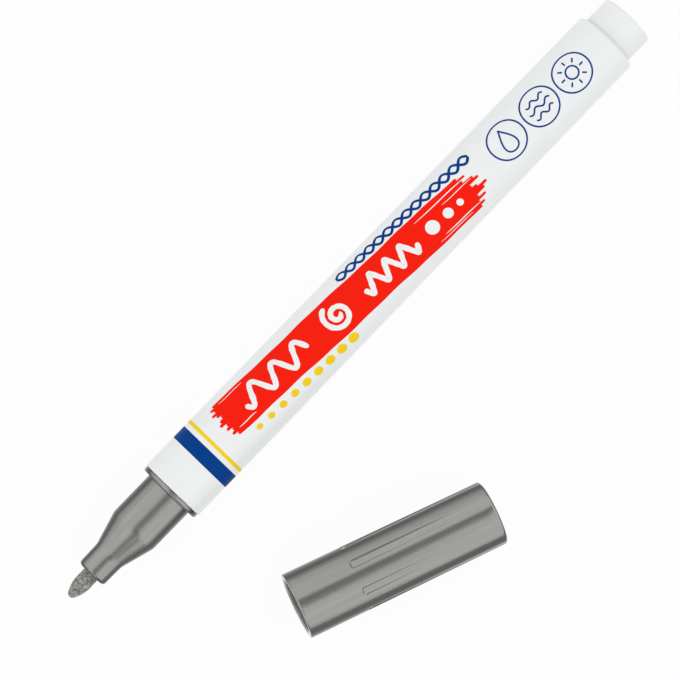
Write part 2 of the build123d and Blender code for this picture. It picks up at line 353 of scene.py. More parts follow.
def paint_seam_shade(tree, place, colour, seams):
    """Darken a colour along lines of painted shade, each with its station along X, its reach and its kept
    share.
    """
    for station, reach, kept in seams:
        seam = place_group(tree, "Dirty seam", build_seam, {
            "Vector": place, "Station": station, "Reach": reach, "Kept": kept,
        })
        colour = dim(tree, colour, seam["Level"])
    return colour


def link_surface(tree, shader, colour, gloss, rough, relief, bump, depth=0.01 * MM, sockets=None):
    """Link what varies over a surface to its shader, and set what is the same all over it."""
    tree.links.new(colour, shader.inputs["Base Color"])
    tree.links.new(map_range(tree, gloss, *rough), shader.inputs["Roughness"])
    raised = add_node(tree, "ShaderNodeBump", {"Height": relief, "Strength": bump, "Distance": depth})
    tree.links.new(raised.outputs["Normal"], shader.inputs["Normal"])
    for socket, value in (sockets or {}).items():
        shader.inputs[socket].default_value = value


def skinned_material(name, low, high, mottle=250.0, grain=6000.0, rough=(0.3, 0.4), bump=0.1,
                     seams=(), sockets=None):
    """A moulded, rubbery or printed surface: two close colours, a mottled sheen, a fine grain and any seams
    painted dark as shade.
    """
    material, tree, shader, place = new_material(name)
    skin = place_group(tree, "Moulded skin", build_skin, {
        "Vector": place, "Mottle Scale": mottle, "Grain Scale": grain,
    })
    colour = paint_seam_shade(tree, place, mix_colours(tree, skin["Mottle"], low, high), seams)
    link_surface(tree, shader, colour, skin["Mottle"], rough, skin["Grain"], bump, sockets=sockets)
    return material


def streaked_material(name, low, high, turn=0.0, scale=900.0, stretch=0.03, rough=(0.3, 0.4), bump=0.1,
                      flop_and_edge_shade=None, seams=(), sockets=None):
    """Streaks along a piece turned about the vertical, with a colour that may be painted darker towards the
    outline as shade, and any seams painted dark as shade.
    """
    material, tree, shader, place = new_material(name)
    turned = add_node(tree, "ShaderNodeMapping", {"Vector": place, "Rotation": (0.0, 0.0, -turn)})
    streaks = place_group(tree, "Lengthwise streaks", build_streaks, {
        "Vector": turned.outputs["Vector"], "Streak Scale": scale, "Stretch": stretch,
    })
    colour = mix_colours(tree, streaks["Coarse"], low, high)
    # Painted shade: the colour darkens where the surface turns away from the view, partly the pearl's flop.
    if flop_and_edge_shade is not None:
        start, end, left = flop_and_edge_shade
        facing = add_node(tree, "ShaderNodeLayerWeight", {"Blend": 0.5}).outputs["Facing"]
        level = map_range(tree, facing, 1.0, left, start, end, interpolation_type="SMOOTHSTEP")
        colour = dim(tree, colour, level)
    colour = paint_seam_shade(tree, place, colour, seams)
    link_surface(tree, shader, colour, streaks["Fine"], rough, streaks["Fine"], bump, sockets=sockets)
    return material


def darker(colour, share):
    """A colour with a share of its light."""
    return [channel * share for channel in colour]


def dress(node, material):
    """Give a CAD node its material."""
    NODES[node].material_slots[0].material = material


# Modelling helpers


def start_fresh():
    """Leave nothing selected, so that the next operator acts on its own piece alone."""
    if bpy.context.object is not None and bpy.context.object.mode != "OBJECT":
        bpy.ops.object.mode_set(mode="OBJECT")
    bpy.ops.object.select_all(action="DESELECT")


def edit_all(operator, **settings):
    """Run an edit operator on the whole of the active piece."""
    bpy.ops.object.mode_set(mode="EDIT")
    bpy.ops.mesh.select_all(action="SELECT")
    operator(**settings)
    bpy.ops.object.mode_set(mode="OBJECT")


def turned_piece(name, profile, sides):
    """Turn a profile of points (x, radius) about the X axis into a closed piece."""
    start_fresh()
    bpy.ops.mesh.primitive_plane_add(size=MM)
    piece = bpy.context.object
    piece.name = name
    bpy.ops.object.mode_set(mode="EDIT")
    bpy.ops.mesh.select_all(action="SELECT")
    bpy.ops.mesh.merge(type="CENTER")
    here = Vector((profile[0][0], 0.0, profile[0][1]))
    bpy.ops.transform.translate(value=here)
    for station, radius in profile[1:]:
        there = Vector((station, 0.0, radius))
        bpy.ops.mesh.extrude_region_move(TRANSFORM_OT_translate={"value": there - here})
        here = there
    edit_all(bpy.ops.mesh.spin, steps=sides, angle=math.tau, center=(0.0, 0.0, 0.0), axis=(1.0, 0.0, 0.0))
    edit_all(bpy.ops.mesh.remove_doubles, threshold=TURNED_MERGE)
    edit_all(bpy.ops.mesh.normals_make_consistent, inside=False)
    return piece


def reshape(piece, place):
    """Move every vertex to the place that a function gives for it."""
    for vertex in piece.data.vertices:
        vertex.co = place(vertex.co)
    piece.data.update()


def apply_modifier(piece, kind, **settings):
    """Add a modifier and apply it to the piece."""
    bpy.context.view_layer.objects.active = piece
    modifier = piece.modifiers.new(kind.title(), kind)
    for name, value in settings.items():
        setattr(modifier, name, value)
    bpy.ops.object.modifier_apply(modifier=modifier.name)


def finish_piece(piece, material, body, smooth=30.0):
    """Shade a piece smooth up to an angle in degrees, give it its material and let it ride on its body."""
    start_fresh()
    piece.select_set(True)
    bpy.context.view_layer.objects.active = piece
    bpy.ops.object.transform_apply(location=True, rotation=True, scale=True)
    bpy.ops.object.shade_smooth_by_angle(angle=math.radians(smooth))
    piece.data.materials.clear()
    piece.data.materials.append(material)
    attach(piece, body)
    return piece


# Barrel and front section


def white_plastic(white, seams):
    """The barrel's smooth white plastic."""
    shade = darker(white, share=0.985)
    return skinned_material("white_plastic", shade, white, rough=(0.30, 0.38), bump=0.08, seams=seams)


class MARKER_OT_barrel(bpy.types.Operator):
    """Give the barrel its smooth white moulded plastic, with shade painted along the step at its tail"""

    bl_idname = "marker.barrel"
    bl_label = "Finish the barrel"

    # Painted shade: a soft dark line at the foot of the step at the tail.
    step_shade_place: length_setting("Dust place", "Distance from the rear end to the line of dust", 4.6)
    step_shade_reach: length_setting("Dust reach", "Reach of the dust on both sides of its line", 0.45)
    step_shade_kept: share_setting("Dusted", "Share of its colour that the plastic keeps on the line of dust", 0.88)

    def execute(self, context):
        step_shade = (BARREL_LOW.x + self.step_shade_place, self.step_shade_reach, self.step_shade_kept)
        dress("barrel", white_plastic(context.scene.marker_finish.barrel_white, (step_shade,)))
        return {"FINISHED"}


# Values of Layer Weight's Facing between which the pearl's colour is painted darker, and the share that is
# left. This painted shade darkens the outline; the pearl's flop gives only part of it.
PEARL_FLOP_AND_EDGE_SHADE = (0.23, 0.5, 0.22)


def pearl_plastic(name, colours, turn, rough, seams=()):
    """Pearly grey plastic under a clear skin. Its colour is painted darker as the surface turns away:
    painted shade at the outline, partly the pearl's own flop.
    """
    return streaked_material(
        name, colours.pearl_dark, colours.pearl_light, turn, rough=rough, bump=0.08,
        flop_and_edge_shade=PEARL_FLOP_AND_EDGE_SHADE, seams=seams,
        sockets={"Metallic": 0.95, "Coat Weight": 0.15, "Coat Roughness": 0.12},
    )


class MARKER_OT_front(bpy.types.Operator):
    """Give the front section its pearly grey plastic, with shade painted along its seams"""

    bl_idname = "marker.front"
    bl_label = "Finish the front section"

    # The seam lines below are painted shade: at the barrel's mouth, at the foot of the neck, and at the rim
    # round the nib, where it also covers a glint.
    flange: length_setting("Flange", "Distance from the barrel's mouth to the foot of the neck", 0.83)
    barrel_seam_shade: length_setting("Barrel stain", "Reach of the ink from the barrel's mouth", 0.25)
    neck_seam_shade: length_setting("Neck stain", "Reach of the ink from the foot of the neck", 0.22)
    rim_seam_shade: length_setting("Rim stain", "Reach of the ink from the rim round the nib", 0.6)
    seam_shade_kept: share_setting("Stained", "Share of its colour that the plastic keeps in a seam", 0.27)

    def execute(self, context):
        seams = (
            (0.0, self.barrel_seam_shade, self.seam_shade_kept),
            (self.flange, self.neck_seam_shade, self.seam_shade_kept),
            (NOSE_END, self.rim_seam_shade, self.seam_shade_kept),
        )
        colours = context.scene.marker_finish
        plastic = pearl_plastic("front_pearl", colours, turn=0.0, rough=(0.24, 0.32), seams=seams)
        dress("front_section", plastic)
        return {"FINISHED"}


# Inner pieces


def bonded_fibre():
    """The absorber's pale fibre, with its strands lengthwise."""
    return streaked_material(
        "bonded_fibre", low=(0.40, 0.40, 0.38), high=(0.62, 0.62, 0.59), scale=2500.0, stretch=0.08,
        rough=(0.85, 1.0), bump=0.6,
    )


def seat_rubber():
    """The valve seat's soft black rubber."""
    return skinned_material(
        "seat_rubber", low=(0.03, 0.03, 0.03), high=(0.05, 0.05, 0.05), rough=(0.6, 0.75),
    )


def natural_plastic():
    """The valve's uncoloured plastic."""
    return skinned_material(
        "natural_plastic", low=(0.68, 0.68, 0.65), high=(0.74, 0.74, 0.71), rough=(0.35, 0.5),
    )


def polished_steel():
    """The mixing ball's polished steel."""
    return skinned_material(
        "polished_steel", low=(0.62, 0.62, 0.62), high=(0.70, 0.70, 0.70), rough=(0.06, 0.16), bump=0.03,
        sockets={"Metallic": 1.0},
    )


def liner_plastic():
    """The soft grey plastic of the cap's liner."""
    return skinned_material(
        "liner_plastic", low=(0.24, 0.24, 0.22), high=(0.29, 0.29, 0.27), rough=(0.45, 0.6),
    )


class MARKER_OT_inside(bpy.types.Operator):
    """Give the absorber, the valve, the ball and the cap's liner their finishes"""

    bl_idname = "marker.inside"
    bl_label = "Finish the inner pieces"

    def execute(self, context):
        natural = natural_plastic()
        dress("ink_absorber", bonded_fibre())
        dress("valve_seat", seat_rubber())
        dress("valve_stem", natural)
        dress("valve_cage", natural)
        dress("mixing_ball", polished_steel())
        dress("cap_inner_seal", liner_plastic())
        return {"FINISHED"}


# Nib


def nib_profile(nib):
    """Points (x, radius) of the nib from its rear to its tip: a shank, a side arc and a round tip."""
    shank_steps, side_steps, tip_steps = 60, 34, 18
    tip = nib.tip_radius
    reach = nib.point_length - tip
    side = (reach**2 + NIB_RADIUS**2 - tip**2) / (NIB_RADIUS - tip) / 2
    centre = NIB_HIGH.x - tip
    turn = math.atan2(reach, side - NIB_RADIUS)
    shank_end = NIB_HIGH.x - nib.point_length
    shank_step = (shank_end - NIB_LOW.x) / shank_steps
    points = [(NIB_LOW.x, 0.0)]
    points += [(NIB_LOW.x + shank_step * step, NIB_RADIUS) for step in range(shank_steps)]
    for step in range(side_steps):
        angle = turn * step / side_steps
        points.append((shank_end + side * math.sin(angle), NIB_RADIUS - side * (1 - math.cos(angle))))
    for step in range(tip_steps):
        angle = turn + (math.pi / 2 - turn) * step / tip_steps
        points.append((centre + tip * math.sin(angle), tip * math.cos(angle)))
    points.append((NIB_HIGH.x, 0.0))
    return points


def nib_fibre(colours):
    """Pressed fibre soaked with grey ink: light fibre ends between dark pores."""
    material, tree, shader, place = new_material("nib_fibre")
    pore_weight = -0.55
    speckle_range = (0.05, 0.55)
    grains = add_node(tree, "ShaderNodeTexVoronoi", {"Vector": place, "Scale": 2400.0, "Randomness": 1.0})
    cloud = add_noise(tree, place, scale=2000.0, detail=5.0, roughness=0.65)
    speckle = add_node(tree, "ShaderNodeMath", {
        0: grains.outputs["Distance"], 1: pore_weight, 2: cloud,
    }, operation="MULTIPLY_ADD")
    spread = map_range(tree, speckle.outputs["Value"], 0.0, 1.0, *speckle_range)
    colour = mix_colours(tree, spread, colours.nib_dark, colours.nib_light)
    link_surface(tree, shader, colour, cloud, rough=(0.75, 1.0), relief=spread, bump=0.5, depth=0.05 * MM)
    return material


class MARKER_OT_nib(bpy.types.Operator):
    """Model the fibre nib with its bullet point and pitted skin"""

    bl_idname = "marker.nib"
    bl_label = "Model the nib"

    sides: IntProperty(name="Sides", description="Faces round the nib", default=128, min=3)

    def execute(self, context):
        nib = context.scene.marker_nib
        piece = turned_piece("fibre_nib", nib_profile(nib), self.sides)
        pores = bpy.data.textures.new("nib_pores", "CLOUDS")
        pores.noise_scale = nib.fibre_size
        pores.noise_depth = 2
        apply_modifier(piece, "DISPLACE", texture=pores, strength=nib.fibre_depth, mid_level=1.0)
        finish_piece(piece, nib_fibre(context.scene.marker_finish), "nib_unit", smooth=60.0)
        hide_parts("nib")
        return {"FINISHED"}


# Cap

# Rings of the mesh on the closed end, and rows before and behind the grooves' start, in millimetres
CAP_END_RINGS = (1.5, 3.0, 4.2)
CAP_FRONT_ROWS = (1.0, 3.5, 6.0, 8.0)
CAP_REAR_ROWS = (12.0, 15.0, 18.0, 21.0, 24.0, 27.0, 30.0, 33.0)
# Spacing in millimetres of the fine rows at the grooves' start, their number, and how many lie before it
CAP_FINE_STEP = 0.05
CAP_FINE_ROWS = 26
CAP_FINE_LEAD = 9
# Shares of the bore's depth at which it has a row
CAP_BORE_SHARES = (0.3, 0.65, 1.0)
# Angles in degrees of the columns over half of one groove's part of the turn, closest at its edge
CAP_COLUMNS = (0.0, 2.2, 4.0, *(4.8 + 0.38 * step for step in range(13)), 10.6, 13.0, 16.0, 19.0, 22.2)
# Share of the grooves' floor radius beyond which a point is on the cap's outside
CAP_OUTSIDE_SHARE = 0.9


def arc(centre, radius, start, end, steps):
    """Points (x, radius) of an arc, with its angles in degrees from the axis."""
    points = []
    for step in range(steps + 1):
        angle = math.radians(start + (end - start) * step / steps)
        points.append((centre[0] + radius * math.cos(angle), centre[1] + radius * math.sin(angle)))
    return points


def cap_outer_radius(cap, station):
    """Radius of the cap's outside, which narrows towards its closed end."""
    return cap.mouth_radius - (cap.mouth_radius - cap.end_radius) * station / cap.length


def cap_profile(cap):
    """Points (x, radius) round half of the cap's section, from its closed end's middle to the air space."""
    fine = CAP_FINE_STEP * MM
    rows = [cap.lip_radius + fine, *(row * MM for row in CAP_FRONT_ROWS)]
    rows += [cap.groove_start + (step - CAP_FINE_LEAD) * fine for step in range(CAP_FINE_ROWS)]
    rows += [*(row * MM for row in CAP_REAR_ROWS), cap.length - cap.end_round - fine]
    end_centre = (cap.length - cap.end_round, cap.end_radius - cap.end_round)
    lip_centre = (cap.lip_radius, cap.mouth_radius - cap.lip_radius)
    points = [(cap.length, 0.0), *((cap.length, ring * MM) for ring in CAP_END_RINGS)]
    points += arc(end_centre, cap.end_round, 0.0, 90.0, steps=9)
    points += [(row, cap_outer_radius(cap, row)) for row in reversed(rows)]
    points += arc(lip_centre, cap.lip_radius, 90.0, 180.0, steps=6)
    points += [(0.0, cap.bore_radius + cap.lead), (cap.lead, cap.bore_radius)]
    points += [(cap.bore_depth * share, cap.bore_radius) for share in CAP_BORE_SHARES]
    points += [(cap.bore_depth, cap.seat_radius), (cap.seat_depth, cap.seat_radius)]
    points += [(cap.seat_depth, cap.air_radius), (cap.air_depth, cap.air_radius), (cap.air_depth, 0.0)]
    return points


def groove_cut(cap, station, radius, aside):
    """How far a groove lowers the cap's outside, at a station and an angle aside from its middle."""
    floor = cap.end_radius - cap.groove_end_depth
    if station <= cap.groove_start / 2 or radius <= floor * CAP_OUTSIDE_SHARE:
        return 0.0
    outer = cap_outer_radius(cap, station)
    across = abs(outer * math.sin(aside)) - cap.groove_width / 2 + cap.groove_corner
    along = cap.groove_start + cap.groove_corner - station
    outside = math.hypot(max(across, 0.0), max(along, 0.0)) + min(max(across, along), 0.0)
    inside = (cap.groove_corner - outside) / cap.groove_edge + 0.5
    inside = min(max(inside, 0.0), 1.0)
    depth = max(radius - floor / math.cos(aside), 0.0)
    return depth * inside * inside * (3.0 - 2.0 * inside)


def bare_plastic(name, colours, turn):
    """The grey plastic of the bore and the mouth's edge, which shows little of the pearl."""
    return streaked_material(
        name, colours.pearl_dark, colours.pearl_light, turn, rough=(0.30, 0.38), bump=0.08,
        sockets={"Metallic": 0.3, "Coat Weight": 1.0, "Coat Roughness": 0.1},
    )


class MARKER_OT_cap(bpy.types.Operator):
    """Model the cap with its rounded lip and its soft-edged grip grooves"""

    bl_idname = "marker.cap"
    bl_label = "Model the cap"

    def execute(self, context):
        cap = context.scene.marker_cap
        half = len(CAP_COLUMNS)
        sides = cap.groove_count * 2 * half
        sector = math.tau / cap.groove_count
        columns = [math.radians(angle) for angle in CAP_COLUMNS]
        columns += [sector / 2] + [sector - angle for angle in reversed(columns[1:])]
        piece = turned_piece("grooved_cap", cap_profile(cap), sides)

        def place(spot):
            index = round(math.atan2(spot.y, spot.z) / math.tau * sides) % sides
            groove, column = divmod(index, 2 * half)
            aside = columns[column] if column <= half else columns[column] - sector
            radius = math.hypot(spot.y, spot.z)
            radius -= groove_cut(cap, spot.x, radius, aside)
            angle = groove * sector + columns[column] + cap.groove_phase
            return Vector((spot.x, radius * math.sin(angle), radius * math.cos(angle)))

        reshape(piece, place)
        piece.rotation_euler.z = CAP_HEADING
        piece.location = cap.mouth
        colours = context.scene.marker_finish
        pearl = pearl_plastic("cap_pearl", colours, CAP_HEADING, rough=(0.15, 0.22))
        finish_piece(piece, pearl, "cap")
        piece.data.materials.append(bare_plastic("cap_mouth_plastic", colours, CAP_HEADING))
        axis = Vector((math.cos(CAP_HEADING), math.sin(CAP_HEADING), 0.0))
        for polygon in piece.data.polygons:
            offset = polygon.center - Vector(cap.mouth)
            along = offset.dot(axis)
            away = (offset - axis * along).length
            if along < cap.bore_depth and away < cap.mouth_radius - cap.lip_radius:
                polygon.material_index = 1
        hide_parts("cap_shell")
        return {"FINISHED"}


# Shapes of the print

# They are drawn flat, in millimetres, with X back from the barrel's mouth and Y round the barrel from the
# line that faces the camera. finish_print wraps them round the barrel.


def ribbon(path, width, cells, across=2):
    """A flat strip along a path, as wide as its width is at each share of the way."""
    start_fresh()
    bpy.ops.mesh.primitive_grid_add(x_subdivisions=cells, y_subdivisions=across, size=1.0)
    piece = bpy.context.object
    nudge = 0.0005

    def place(spot):
        share = spot.x + 0.5
        heading = (path(share + nudge) - path(share - nudge)).normalized()
        side = Vector((-heading.y, heading.x))
        return (path(share) + side * width(share) * spot.y).to_3d()

    reshape(piece, place)
    return piece


def disc(x, y, diameter):
    """A flat round dot."""
    start_fresh()
    bpy.ops.mesh.primitive_grid_add(x_subdivisions=12, y_subdivisions=12, size=2.0)
    piece = bpy.context.object

    def place(spot):
        flat = Vector((spot.x * math.sqrt(1 - spot.y**2 / 2), spot.y * math.sqrt(1 - spot.x**2 / 2)))
        return (Vector((x, y)) + flat * diameter / 2).to_3d()

    reshape(piece, place)
    return piece


def even(width):
    """The width of a line that stays the same all the way."""
    return lambda share: width


# Rates and phases of the three waves that make the edge of a stroke unsteady
SHAKES = ((61.0, 0.0), (97.0, 1.3), (151.0, 0.4))


def pen(width, round_share=0.03, rough=0.0):
    """The width of a stroke with round ends and, if wanted, an unsteady edge."""

    def at(share):
        end = min(max(min(share, 1 - share), 0.0) / round_share, 1.0)
        shake = sum(math.sin(share * rate + phase) for rate, phase in SHAKES)
        return width * math.sqrt(1 - (1 - end)**2) * (1 + rough * shake)

    return at


def wave(start, end, middle, height, turns, phase=0.0):
    """A path along the barrel that swings from side to side."""
    return lambda share: Vector((
        start + (end - start) * share, middle + height * math.sin(math.tau * turns * share + phase),
    ))


def zigzag(start, end, middle, height, turns, sharpness=0.96):
    """A path along the barrel with straight flanks and soft corners."""
    return lambda share: Vector((
        start + (end - start) * share,
        middle + height * math.asin(sharpness * math.sin(math.tau * turns * share)) * 2 / math.pi,
    ))


def ring(x, y, radius):
    """A round path that closes on itself."""

    def at(share):
        angle = math.tau * share
        return Vector((x - radius * math.sin(angle), y - radius * math.cos(angle)))

    return at


def spiral(x, y, inner, outer, turns):
    """A path that winds outwards."""

    def at(share):
        radius = inner + (outer - inner) * share
        angle = math.tau * turns * share
        return Vector((x + radius * math.cos(angle), y + radius * math.sin(angle)))

    return at


def ray(x, y, angle, start, end):
    """A straight path away from a point, from one distance to another."""

    def at(share):
        away = start + (end - start) * share
        return Vector((x + away * math.cos(angle), y + away * math.sin(angle)))

    return at


def drop(x, y, width, height, pinch=1.6, widest=0.77):
    """The outline of a drop with its point towards -Y, drawn out by the pinch. Widest scales its width."""

    def at(share):
        angle = math.tau * share
        aside = width / 2 * math.sin(angle) * abs(math.sin(angle / 2))**pinch / widest
        return Vector((x + aside, y - height / 2 * math.cos(angle)))

    return at


# Print on the barrel


def ink(name, colour):
    """Printed ink: flat colour with a little unevenness and hardly any gloss."""
    return skinned_material(
        name + "_ink", darker(colour, share=0.93), colour, mottle=500.0, rough=(0.45, 0.55),
        sockets={"Specular IOR Level": 0.05},
    )


def finish_print(name, shapes, colour, inks, layer=1, slanted=True):
    """Join flat shapes, wrap them round the barrel and give them the thickness of ink."""
    start_fresh()
    for shape in shapes:
        shape.select_set(True)
    piece = shapes[0]
    bpy.context.view_layer.objects.active = piece
    if len(shapes) > 1:
        bpy.ops.object.join()
    piece.name = name
    height = inks.ink_height * layer

    def place(spot):
        back = spot.x * MM
        taper = min(max((back - inks.taper_start) / inks.taper_length, 0.0), 1.0)
        radius = BARREL_RADIUS - inks.taper_drop * taper
        round_by = spot.y * MM
        if slanted:
            round_by += (back - inks.slant_middle) * inks.slant_rise
        angle = inks.facing_turn + round_by / radius
        return Vector((-back, (radius + height) * math.sin(angle), (radius + height) * math.cos(angle)))

    reshape(piece, place)
    edit_all(bpy.ops.mesh.remove_doubles, threshold=PRINT_MERGE)
    outward = sum(polygon.normal.dot(Vector((0.0, *polygon.center.yz))) for polygon in piece.data.polygons)
    if outward < 0:
        edit_all(bpy.ops.mesh.flip_normals)
    apply_modifier(piece, "SOLIDIFY", thickness=height + inks.ink_sink, offset=-1.0)
    return finish_piece(piece, ink(name, colour), "marker", smooth=40.0)


class MARKER_OT_print_rings(bpy.types.Operator):
    """Print the blue and the yellow ring round the front of the barrel"""

    bl_idname = "marker.print_rings"
    bl_label = "Print the rings"

    sides: IntProperty(name="Sides", description="Faces round a ring", default=180, min=3)

    def execute(self, context):
        inks = context.scene.marker_print
        low, high = BARREL_RADIUS - inks.ink_sink, BARREL_RADIUS + inks.ink_height
        # Each ring's name, its front and rear edges in millimetres back from the mouth, and its ink
        for name, start, end, colour in (
            ("print_ring_blue", 6.0, 8.4, inks.blue),
            ("print_ring_yellow", 9.2, 9.8, inks.yellow),
        ):
            front, rear = -start * MM, -end * MM
            loop = [(front, low), (front, high), (rear, high), (rear, low), (front, low)]
            piece = turned_piece(name, loop, self.sides)
            finish_piece(piece, ink(name, colour), "marker")
        return {"FINISHED"}


# How far each bristle reaches past the two ends of the red field, and how round its end is, in millimetres
BRISTLES_FRONT = (0.2, 0.9, 0.5, 1.3, 0.8, 0.3, 1.0, 1.5, 0.6, 1.1, 0.4, 0.9, 0.2)
BRISTLES_REAR = (0.3, 1.6, 0.7, 2.4, 3.1, 1.2, 2.0, 3.6, 2.7, 1.0, 2.2, 0.6, 1.3, 0.4)
BRISTLE_ROUND = 0.3
# A share just inside the last bristle
LAST_BRISTLE_SHARE = 0.9999
# Height in millimetres and rates along and across of the waves that make the field's sides unsteady
FIELD_WAVES = ((0.08, 0.31, 3.0), (0.04, 0.93, 5.0))


def bristle_reach(share, lengths):
    """How far the round-ended bristles reach at a share of the way across the brush."""
    place = min(max(share, 0.0), LAST_BRISTLE_SHARE) * len(lengths)
    across = 2 * (place - int(place)) - 1
    return lengths[int(place)] - BRISTLE_ROUND * (1 - math.sqrt(1 - across**2))


class MARKER_OT_print_field(bpy.types.Operator):
    """Print the red field, shaped like the mark of a wide brush"""

    bl_idname = "marker.print_field"
    bl_label = "Print the red field"

    start: drawn_setting("Start", "Front end", 13.6)
    end: drawn_setting("End", "Rear end", 64.8)
    low: drawn_setting("Upper side", "Upper side", -3.4)
    high: drawn_setting("Lower side", "Lower side", 3.4)

    def execute(self, context):
        start_fresh()
        bpy.ops.mesh.primitive_grid_add(x_subdivisions=200, y_subdivisions=156, size=1.0)
        field = bpy.context.object

        def place(spot):
            share = spot.y + 0.5
            start = self.start - bristle_reach(share, BRISTLES_FRONT)
            end = self.end + bristle_reach(share, BRISTLES_REAR)
            back = start + (end - start) * (spot.x + 0.5)
            sway = sum(
                height * math.sin(along * back + across * share) for height, along, across in FIELD_WAVES
            )
            return Vector((back, self.low + (self.high - self.low) * share + sway, 0.0))

        reshape(field, place)
        inks = context.scene.marker_print
        finish_print("print_brush_field", [field], inks.red, inks)
        return {"FINISHED"}


# Place along the barrel and diameter of each chalk dot, in millimetres
CHALK_DOTS = ((57.2, 2.3), (60.5, 1.7), (63.0, 1.15))
# Start, end, place round the barrel and width of each gap that the bristles left, in millimetres
BRISTLE_GAPS = (
    (55.5, 66.4, -2.4, 0.16),
    (58.0, 65.6, 2.3, 0.2),
    (60.6, 66.9, -1.6, 0.12),
    (56.5, 63.6, 2.8, 0.12),
    (14.4, 19.5, -2.8, 0.12),
    (14.2, 17.8, 2.5, 0.16),
)


class MARKER_OT_print_chalk(bpy.types.Operator):
    """Print the white chalk marks and the gaps between the bristles on the red field"""

    bl_idname = "marker.print_chalk"
    bl_label = "Print the chalk marks"

    stroke: drawn_setting("Stroke", "Width of a stroke", 0.85)

    def execute(self, context):
        chalk = pen(self.stroke, round_share=0.02, rough=0.035)
        ripple = wave(start=17.2, end=30.6, middle=0.0, height=1.65, turns=3.0, phase=0.4)
        curl = spiral(x=37.2, y=0.0, inner=0.25, outer=2.5, turns=1.7)
        teeth = zigzag(start=42.8, end=53.8, middle=0.0, height=1.75, turns=3.5)
        strokes = ((ripple, 200), (curl, 200), (teeth, 220))
        shapes = [ribbon(path, chalk, cells, across=4) for path, cells in strokes]
        shapes += [disc(x, 0.0, diameter) for x, diameter in CHALK_DOTS]
        for start, end, middle, width in BRISTLE_GAPS:
            gap = wave(start, end, middle, height=0.04, turns=1.0)
            shapes.append(ribbon(gap, pen(width, round_share=0.45), cells=60))
        inks = context.scene.marker_print
        finish_print("print_chalk_marks", shapes, inks.white, inks, layer=2)
        return {"FINISHED"}


class MARKER_OT_print_trim(bpy.types.Operator):
    """Print the blue braid and the row of yellow dots beside the red field"""

    bl_idname = "marker.print_trim"
    bl_label = "Print the braid and the dots"

    offset: drawn_setting("Offset", "Distance from the middle line", 4.7)
    dot_count: IntProperty(name="Dots", description="Dots in the row", default=9, min=1)

    def execute(self, context):
        inks = context.scene.marker_print
        strands = []
        for phase in (0.0, math.pi):
            path = wave(start=41.0, end=69.0, middle=-self.offset, height=0.78, turns=7.0, phase=phase)
            strands.append(ribbon(path, pen(width=0.48, round_share=0.008), cells=420))
        finish_print("print_braid", strands, inks.blue, inks)
        dots = []
        for step in range(self.dot_count):
            dots.append(disc(x=36.5 - 2.5 * step, y=self.offset, diameter=1.9 - 0.1 * step))
        finish_print("print_dots", dots, inks.yellow, inks)
        return {"FINISHED"}


# Distance from the symbol's middle and half length of each of its waves, in millimetres
SYMBOL_WAVES = ((-1.25, 1.9), (0.0, 2.25), (1.25, 1.9))


class MARKER_OT_print_symbols(bpy.types.Operator):
    """Print the three round outlined symbols: a drop, waves and a sun"""

    bl_idname = "marker.print_symbols"
    bl_label = "Print the symbols"

    first: drawn_setting("First", "Place of the first symbol", 75.0)
    spacing: drawn_setting("Spacing", "Distance between symbols", 7.3)
    middle: drawn_setting("Middle", "Middle line", -0.5)
    radius: drawn_setting("Radius", "Radius of a symbol", 3.2)
    stroke: drawn_setting("Stroke", "Width of a line", 0.27)
    ray_count: IntProperty(name="Rays", description="Rays round the sun", default=8, min=1)

    def execute(self, context):
        line = even(self.stroke)
        places = [self.first + self.spacing * step for step in range(3)]
        drop_place, wave_place, sun_place = places
        shapes = [ribbon(ring(place, self.middle, self.radius), line, cells=120) for place in places]
        shapes.append(ribbon(drop(drop_place, self.middle, width=2.7, height=4.2), line, cells=120))
        shapes.append(ribbon(ring(sun_place, self.middle, radius=1.05), line, cells=60))
        for offset, reach in SYMBOL_WAVES:
            start, end = wave_place - reach, wave_place + reach
            path = wave(start, end, self.middle + offset, height=0.32, turns=2.0)
            shapes.append(ribbon(path, pen(self.stroke), cells=80))
        for step in range(self.ray_count):
            angle = math.tau * step / self.ray_count
            path = ray(sun_place, self.middle, angle, start=1.55, end=2.35)
            shapes.append(ribbon(path, pen(self.stroke, round_share=0.15), cells=20))
        inks = context.scene.marker_print
        finish_print("print_symbols", shapes, inks.blue, inks, slanted=False)
        return {"FINISHED"}


# Valve spring


def drawn_wire():
    """The spring's drawn steel wire."""
    return streaked_material(
        "drawn_wire", low=(0.50, 0.50, 0.50), high=(0.62, 0.62, 0.61), scale=4000.0, stretch=0.5,
        rough=(0.22, 0.34), sockets={"Metallic": 1.0},
    )


